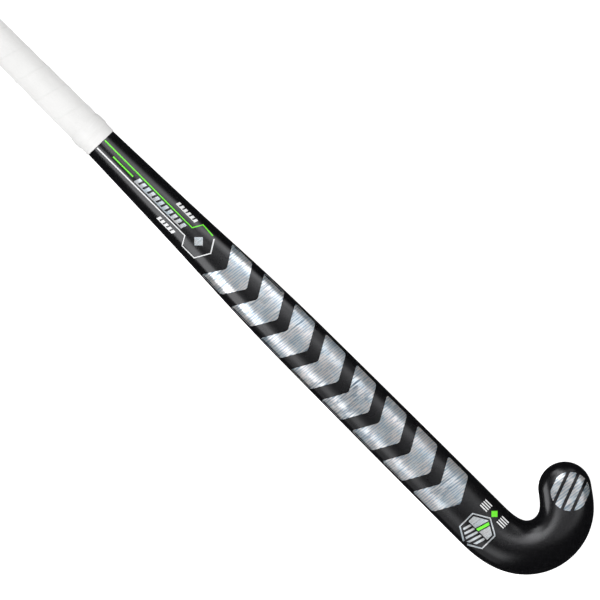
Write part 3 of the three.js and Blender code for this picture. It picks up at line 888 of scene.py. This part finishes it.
WRAP_PITCH = 23.5  # how far the ribbon moves along the handle in one turn
WRAP_LAP = 0.24  # height of the step where one turn lies on the edge of the turn before
LAP_FULL = 2.2  # distance from the ribbon's edge at which it starts to sink back
LAP_OVER = 8  # and at which it has sunk back
WRAP_SIDES = 72
RIBBON_ROWS = (0, 0.22, 1.0, 2.2, 3.4, 4.8, 6.4, 9, 12, 15, 18, 21, 23.2)  # distances from its edge
WRAP_START = BUTT + GAP
WRAP_LOW = GAP + WRAP + 0.1
MERGE = 0.01  # points nearer than this become one
RIM_REACH = 0.05  # a rim's points are within this of its place

# The ribbon's outside, over the laminate. It sinks where the underlay ends beneath it.
wrap_height = smooth_curve([
    (UNDERLAY_END - 24, GRIP_STACK - 0.25), (UNDERLAY_END + 3, GRIP_STACK - 0.6), (TAPE_START, WRAP_LOW),
])


def smooth_step(low, high, value):
    """A soft step from 0 to 1 between two values."""
    t = min(max((value - low) / (high - low), 0), 1)
    return t * t * (3 - 2 * t)


def handle_centre(x):
    """The middle of the handle at a place along it."""
    return (x, 0.0, face_height(x) + depth(x) / 2)


def wrap_point(x, angle, offset):
    """A point on the handle's surface at an angle round it from the top, moved out by an offset."""
    cut = section(x, -offset)
    across = cut["width"] * math.sin(angle)
    if math.cos(angle) >= 0:
        return (x, across, cut["middle"] + above(cut, across))
    return (x, across, cut["middle"] + below(cut, across))


def lap_height(p):
    """Height of a turn of ribbon over its base, at a distance from the edge that laps the last turn."""
    if p <= 0:
        return 0.0
    return WRAP_LAP * smooth_step(0, RIBBON_ROWS[1], p) * (1 - smooth_step(LAP_FULL, LAP_OVER, p))


def wind_ribbon(bm):
    """Turns of ribbon from before the grip's start to past its end, each joined to the next."""
    turns = int((WRAP_END - WRAP_START) / WRAP_PITCH) + 3
    rows = []
    for turn in range(-1, turns):
        for p in RIBBON_ROWS:
            row = []
            for k in range(WRAP_SIDES):
                x = WRAP_START + (turn + k / WRAP_SIDES) * WRAP_PITCH + p
                height = float(wrap_height(x)) + lap_height(p)
                row.append(bm.verts.new(wrap_point(x, 2 * math.pi * k / WRAP_SIDES, height)))
            rows.append(row)
    for a, b in zip(rows, rows[1:]):
        for k in range(WRAP_SIDES - 1):
            bm.faces.new((a[k], a[k + 1], b[k + 1], b[k]))
    per_turn = len(RIBBON_ROWS)
    for a, b, c, d in zip(rows, rows[1:], rows[per_turn:], rows[per_turn + 1:]):
        bm.faces.new((a[-1], c[0], d[0], b[-1]))


def trim_ribbon(bm):
    """Cuts the wound ribbon square at both ends of the grip."""
    for place, keep in ((WRAP_START, 1), (WRAP_END, -1)):
        bmesh.ops.bisect_plane(
            bm, geom=bm.faces[:] + bm.edges[:] + bm.verts[:], plane_co=(place, 0, 0),
            plane_no=(keep, 0, 0), clear_inner=True,
        )
    bmesh.ops.remove_doubles(bm, verts=bm.verts, dist=MERGE)


def turn_rim_in(bm, place):
    """Carries the ribbon's open rim at a place in to the handle. Returns the new rim's edges."""
    rim = [
        edge for edge in bm.edges
        if len(edge.link_faces) == 1 and all(abs(v.co.x - place) < RIM_REACH for v in edge.verts)
    ]
    made = bmesh.ops.extrude_edge_only(bm, edges=rim)["geom"]
    new_verts = [item for item in made if isinstance(item, bmesh.types.BMVert)]
    centre = Vector(handle_centre(place))
    for vert in new_verts:
        out = vert.co - centre
        out.x = 0
        vert.co -= out.normalized() * (float(wrap_height(place)) - GAP / 2)
    new_edges = [item for item in made if isinstance(item, bmesh.types.BMEdge)]
    return [edge for edge in new_edges if all(vert in new_verts for vert in edge.verts)]


def build_wrap():
    """A ribbon wound up the handle from the butt, each turn lapping the edge of the one before."""
    bm = bmesh.new()
    wind_ribbon(bm)
    trim_ribbon(bm)
    start_rim = turn_rim_in(bm, WRAP_START)
    end_rim = turn_rim_in(bm, WRAP_END)
    bmesh.ops.bridge_loops(bm, edges=start_rim + end_rim)
    piece = mesh_object("wound_grip", bm)
    mark_sharp(piece, 55)
    return piece


wrap = build_wrap()
finish_piece(wrap, WRAP_SKIN, "grip_wrap", "grip_wrap")


ROUND_SIDES = 96  # points round the tape and the cap
TAPE_ROWS = 34
TAPE_SKEW = 0.5  # how far out of square the tape's lower edge is
TAPE_SKEW_TURN = 0.8  # and the angle it is turned by, in radians
TAPE_CREASE = 0.05
TAPE_STEP = 0.12  # height of the last turn's edge
TAPE_STEP_RUN = 0.4  # width of the slope it makes
TAPE_STEP_START = TAPE_START + 6
TAPE_STEP_CLIMB = 2.5  # how far the edge moves along the stick in its turn
TAPE_LOW = WRAP_LOW + GAP + TAPE

tape_height = smooth_curve([
    (TAPE_START, TAPE_LOW), (WRAP_END - 3, TAPE_LOW + 0.1), (WRAP_END + 1, TAPE_LOW - 0.15),
    (WRAP_END + 5, GAP + TAPE + 0.25), (GRIP_END, GAP + TAPE),
])


def tape_skew(angle):
    """How far the tape's lower edge is off square, at an angle round the stick."""
    return TAPE_SKEW * math.sin(angle + TAPE_SKEW_TURN)


def tape_point(place, k):
    """A point of the tape's outside, with its small creases and the edge of its last turn."""
    angle = 2 * math.pi * k / ROUND_SIDES
    crease = TAPE_CREASE * math.sin(9 * angle + place * 0.5) * math.sin(place * 0.9 + 2 * angle)
    step_place = TAPE_STEP_START + TAPE_STEP_CLIMB * k / ROUND_SIDES
    step = TAPE_STEP * smooth_step(0, TAPE_STEP_RUN, place - step_place)
    x = place + tape_skew(angle) * (place - TAPE_START) / (GRIP_END - TAPE_START)
    return wrap_point(x, angle, float(tape_height(place)) + crease + step - TAPE_STEP)


def build_tape():
    """Stretch tape over the grip's lower end. One edge climbs round it to the free end on the back."""
    bm = bmesh.new()
    places = np.linspace(TAPE_START, GRIP_END, TAPE_ROWS)
    loops = [[tape_point(place, k) for k in range(ROUND_SIDES)] for place in places]
    edge_up = []
    edge_down = []
    for k in range(ROUND_SIDES):
        angle = 2 * math.pi * k / ROUND_SIDES
        edge_up.append(wrap_point(TAPE_START, angle, WRAP_LOW + GAP / 2))
        edge_down.append(wrap_point(GRIP_END + tape_skew(angle), angle, GAP / 2))
    made = add_rings(bm, [edge_up, *loops, edge_down], closed_start=False, closed_end=False)
    join_loops(bm, made[0], made[-1])
    piece = mesh_object("finishing_tape_band", bm)
    mark_sharp(piece, 50)
    return piece


tape = build_tape()
finish_piece(tape, TAPE_SKIN, "finishing_tape", "finishing_tape")


# The cap's outline from the dish in its end to the end of its stem: distance from the end of the cap,
# and offset from the handle's surface.
CAP_DISH = [(0.55, -9.0), (0.5, -7.5), (0.1, -6.6), (0.0, -5.6), (0.0, 0.3)]
CAP_EDGE = [(0.12, CAP_LIP - 1.3), (0.45, CAP_LIP - 0.7), (1.0, CAP_LIP - 0.25), (CAP_ROUND, CAP_LIP)]
CAP_GROOVE = [(2.9, CAP_LIP), (3.1, CAP_LIP - 0.3), (3.5, CAP_LIP - 0.3), (3.7, CAP_LIP)]
CAP_STEM_LENGTH = 26
CAP_STEM = [
    (CAP_THICKNESS - GAP, CAP_LIP), (CAP_THICKNESS - GAP, -WALL - GAP),
    (CAP_THICKNESS + CAP_STEM_LENGTH, -WALL - GAP),
]


def handle_ring(x, offset):
    """A closed ring round the handle."""
    return [wrap_point(x, 2 * math.pi * k / ROUND_SIDES, offset) for k in range(ROUND_SIDES)]


def build_cap():
    """The butt cap: a stem in the handle, and a rim with a rounded edge, a groove and a dished end."""
    bm = bmesh.new()
    profile = CAP_DISH + CAP_EDGE + CAP_GROOVE + CAP_STEM
    add_rings(bm, [handle_ring(CAP_END + x, offset) for x, offset in profile])
    piece = mesh_object("butt_cap", bm)
    mark_sharp(piece, 40)
    return piece


cap = build_cap()
finish_piece(cap, RUBBER, "cap_rubber", "end_cap")


def dress_inner_pieces():
    """Gives the inner pieces their materials. They keep their CAD shape."""
    for node, material in (
        ("grip_underlay", UNDERLAY_FOAM), ("head_core", HEAD_FOAM),
        ("handle_core", HANDLE_FOAM), ("centre_rib", BARE_LAMINATE),
    ):
        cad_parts[node].data.materials.clear()
        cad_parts[node].data.materials.append(material)


dress_inner_pieces()


# ---------- Stage, lights and camera ----------

FLOOR_HALF = 30000
FLOOR_GLOW = 0.2  # its own light, for everything but the camera
FLOOR_GLOW_SEEN = 0.8  # and for the camera


def build_floor():
    """A plain pale floor that stays out of the stick's reflections."""
    look = Look("pale_floor")
    grain = look.noise(look.mapped((60, 60, 60)), detail=2.0)
    look.link(
        look.ramp(grain, (0.3, (0.93, 0.93, 0.93)), (0.7, (0.95, 0.95, 0.95))),
        look.shader.inputs["Base Color"],
    )
    look.set(Roughness=1.0, Specular_IOR_Level=0.0, Emission_Color=(1, 1, 1, 1))
    seen = look.node("ShaderNodeLightPath").outputs["Is Camera Ray"]
    glow = look.remap(seen, 0, 1, FLOOR_GLOW, FLOOR_GLOW_SEEN)
    look.link(glow, look.shader.inputs["Emission Strength"])
    bm = bmesh.new()
    corners = ((-1, -1), (1, -1), (1, 1), (-1, 1))
    bm.faces.new([bm.verts.new((x * FLOOR_HALF, y * FLOOR_HALF, 0)) for x, y in corners])
    floor = mesh_object("floor", bm)
    floor.data.materials.append(look.material)
    floor.visible_glossy = False


COOL_WHITE = (0.96, 0.97, 1.0)


def add_light(name, place, target, size, brightness, mirrored=True, spread=90):
    """A soft box: a rectangle of light facing a point, its first side level. Its numbers are in metres.
    A mirrored one is only seen in reflections, and any other only lights the matt surfaces. A spread under
    90 degrees is a grid over the box, which keeps its light within that angle of where it faces."""
    light = bpy.data.lights.new(name, "AREA")
    light.shape = "RECTANGLE"
    light.size, light.size_y = size
    light.energy = brightness * math.pi * size[0] * size[1]
    if mirrored:
        light.color = COOL_WHITE
    if spread < 90:
        half = math.radians(spread)
        light.spread = 2 * half
        light.energy *= (math.tan(half) - half) / math.tan(half)  # as bright straight ahead as without it
    lamp = bpy.data.objects.new(name, light)
    lamp.location = place
    lamp.rotation_euler = (Vector(target) - Vector(place)).to_track_quat("-Z", "Y").to_euler()
    lamp.visible_camera = False
    lamp.visible_glossy = mirrored
    lamp.visible_diffuse = not mirrored
    bpy.context.scene.collection.objects.link(lamp)


FILL = (0.503, 0.5, 0.495)  # light from all round
REFLECTED = (0.02, 0.02, 0.022)  # what the same surroundings look like in a reflection
BACKDROP = (0.98, 0.98, 0.98)  # and what the camera sees


def build_world():
    """White behind everything for the camera, a soft grey fill for light, and dark in reflections.
    A mix node's colour inputs are sockets 6 and 7, and its colour output is 2."""
    world = bpy.data.worlds.new("studio")
    bpy.context.scene.world = world
    world.use_nodes = True
    nodes, links = world.node_tree.nodes, world.node_tree.links
    background = nodes["Background"]
    path = nodes.new("ShaderNodeLightPath")
    pick = nodes.new("ShaderNodeMix")
    pick.data_type = "RGBA"
    pick.inputs[6].default_value = (*FILL, 1)
    pick.inputs[7].default_value = (*REFLECTED, 1)
    links.new(path.outputs["Is Glossy Ray"], pick.inputs["Factor"])
    show = nodes.new("ShaderNodeMix")
    show.data_type = "RGBA"
    show.inputs[7].default_value = (*BACKDROP, 1)
    links.new(path.outputs["Is Camera Ray"], show.inputs["Factor"])
    links.new(pick.outputs[2], show.inputs[6])
    links.new(show.outputs[2], background.inputs["Color"])


# The view, in metres.
VIEW_CENTRE = (-0.26005, 0.0253)
VIEW_WIDTH = 0.510  # at the object's height
CAMERA_HEIGHT = 9.0
OBJECT_HEIGHT = 0.022
SENSOR_WIDTH = 36  # in millimetres


def build_camera():
    """A camera straight above the stick's lower part, turned so that the shaft runs down to the right."""
    data = bpy.data.cameras.new("camera")
    data.sensor_width = SENSOR_WIDTH
    data.lens = SENSOR_WIDTH * (CAMERA_HEIGHT - OBJECT_HEIGHT) / VIEW_WIDTH
    data.clip_end = 100
    camera = bpy.data.objects.new("camera", data)
    camera.location = (*VIEW_CENTRE, CAMERA_HEIGHT)
    camera.rotation_euler = (0, 0, math.radians(45))
    bpy.context.scene.collection.objects.link(camera)
    bpy.context.scene.camera = camera


def build_lights():
    """Strips whose reflections run along both sides of the back, a card at the heel, a box and a card for
    the head's highlights, and the lamp that lights the matt surfaces."""
    add_light("strip_toe_side", (-0.385, 0.45, 0.56), (-0.42, 0, 0.02), (0.49, 0.60), 2.8, spread=27)
    add_light("strip_heel_side", (-0.40, -0.45, 0.56), (-0.40, 0, 0.02), (0.46, 0.50), 2.5)
    add_light("far_strip_toe_side", (0.0, 0.24, 0.72), (-0.15, 0, 0.02), (0.34, 0.60), 1.6, spread=20)
    add_light("far_strip_heel_side", (-0.01, -0.36, 0.64), (-0.16, 0, 0.02), (0.34, 0.60), 1.9, spread=20)
    add_light("card_heel", (0.05, -0.70, 0.36), (0.0, 0, 0.02), (0.50, 0.70), 0.35)
    add_light("box_head", (-0.80, 0.42, 2.45), (0.06, -0.30, 0.02), (0.55, 1.45), 4.6, spread=30)
    add_light("card_crook", (-0.77, 0.32, 0.87), (0.02, 0.03, 0.02), (0.35, 0.45), 2.0)
    add_light("overhead", (-0.3, -0.45, 2.4), (-0.3, 0, 0), (1.6, 1.2), 6.5, mirrored=False)


build_floor()
build_world()
build_camera()
build_lights()

scene = bpy.context.scene
scene.view_settings.view_transform = "Standard"
scene.view_settings.look = "None"
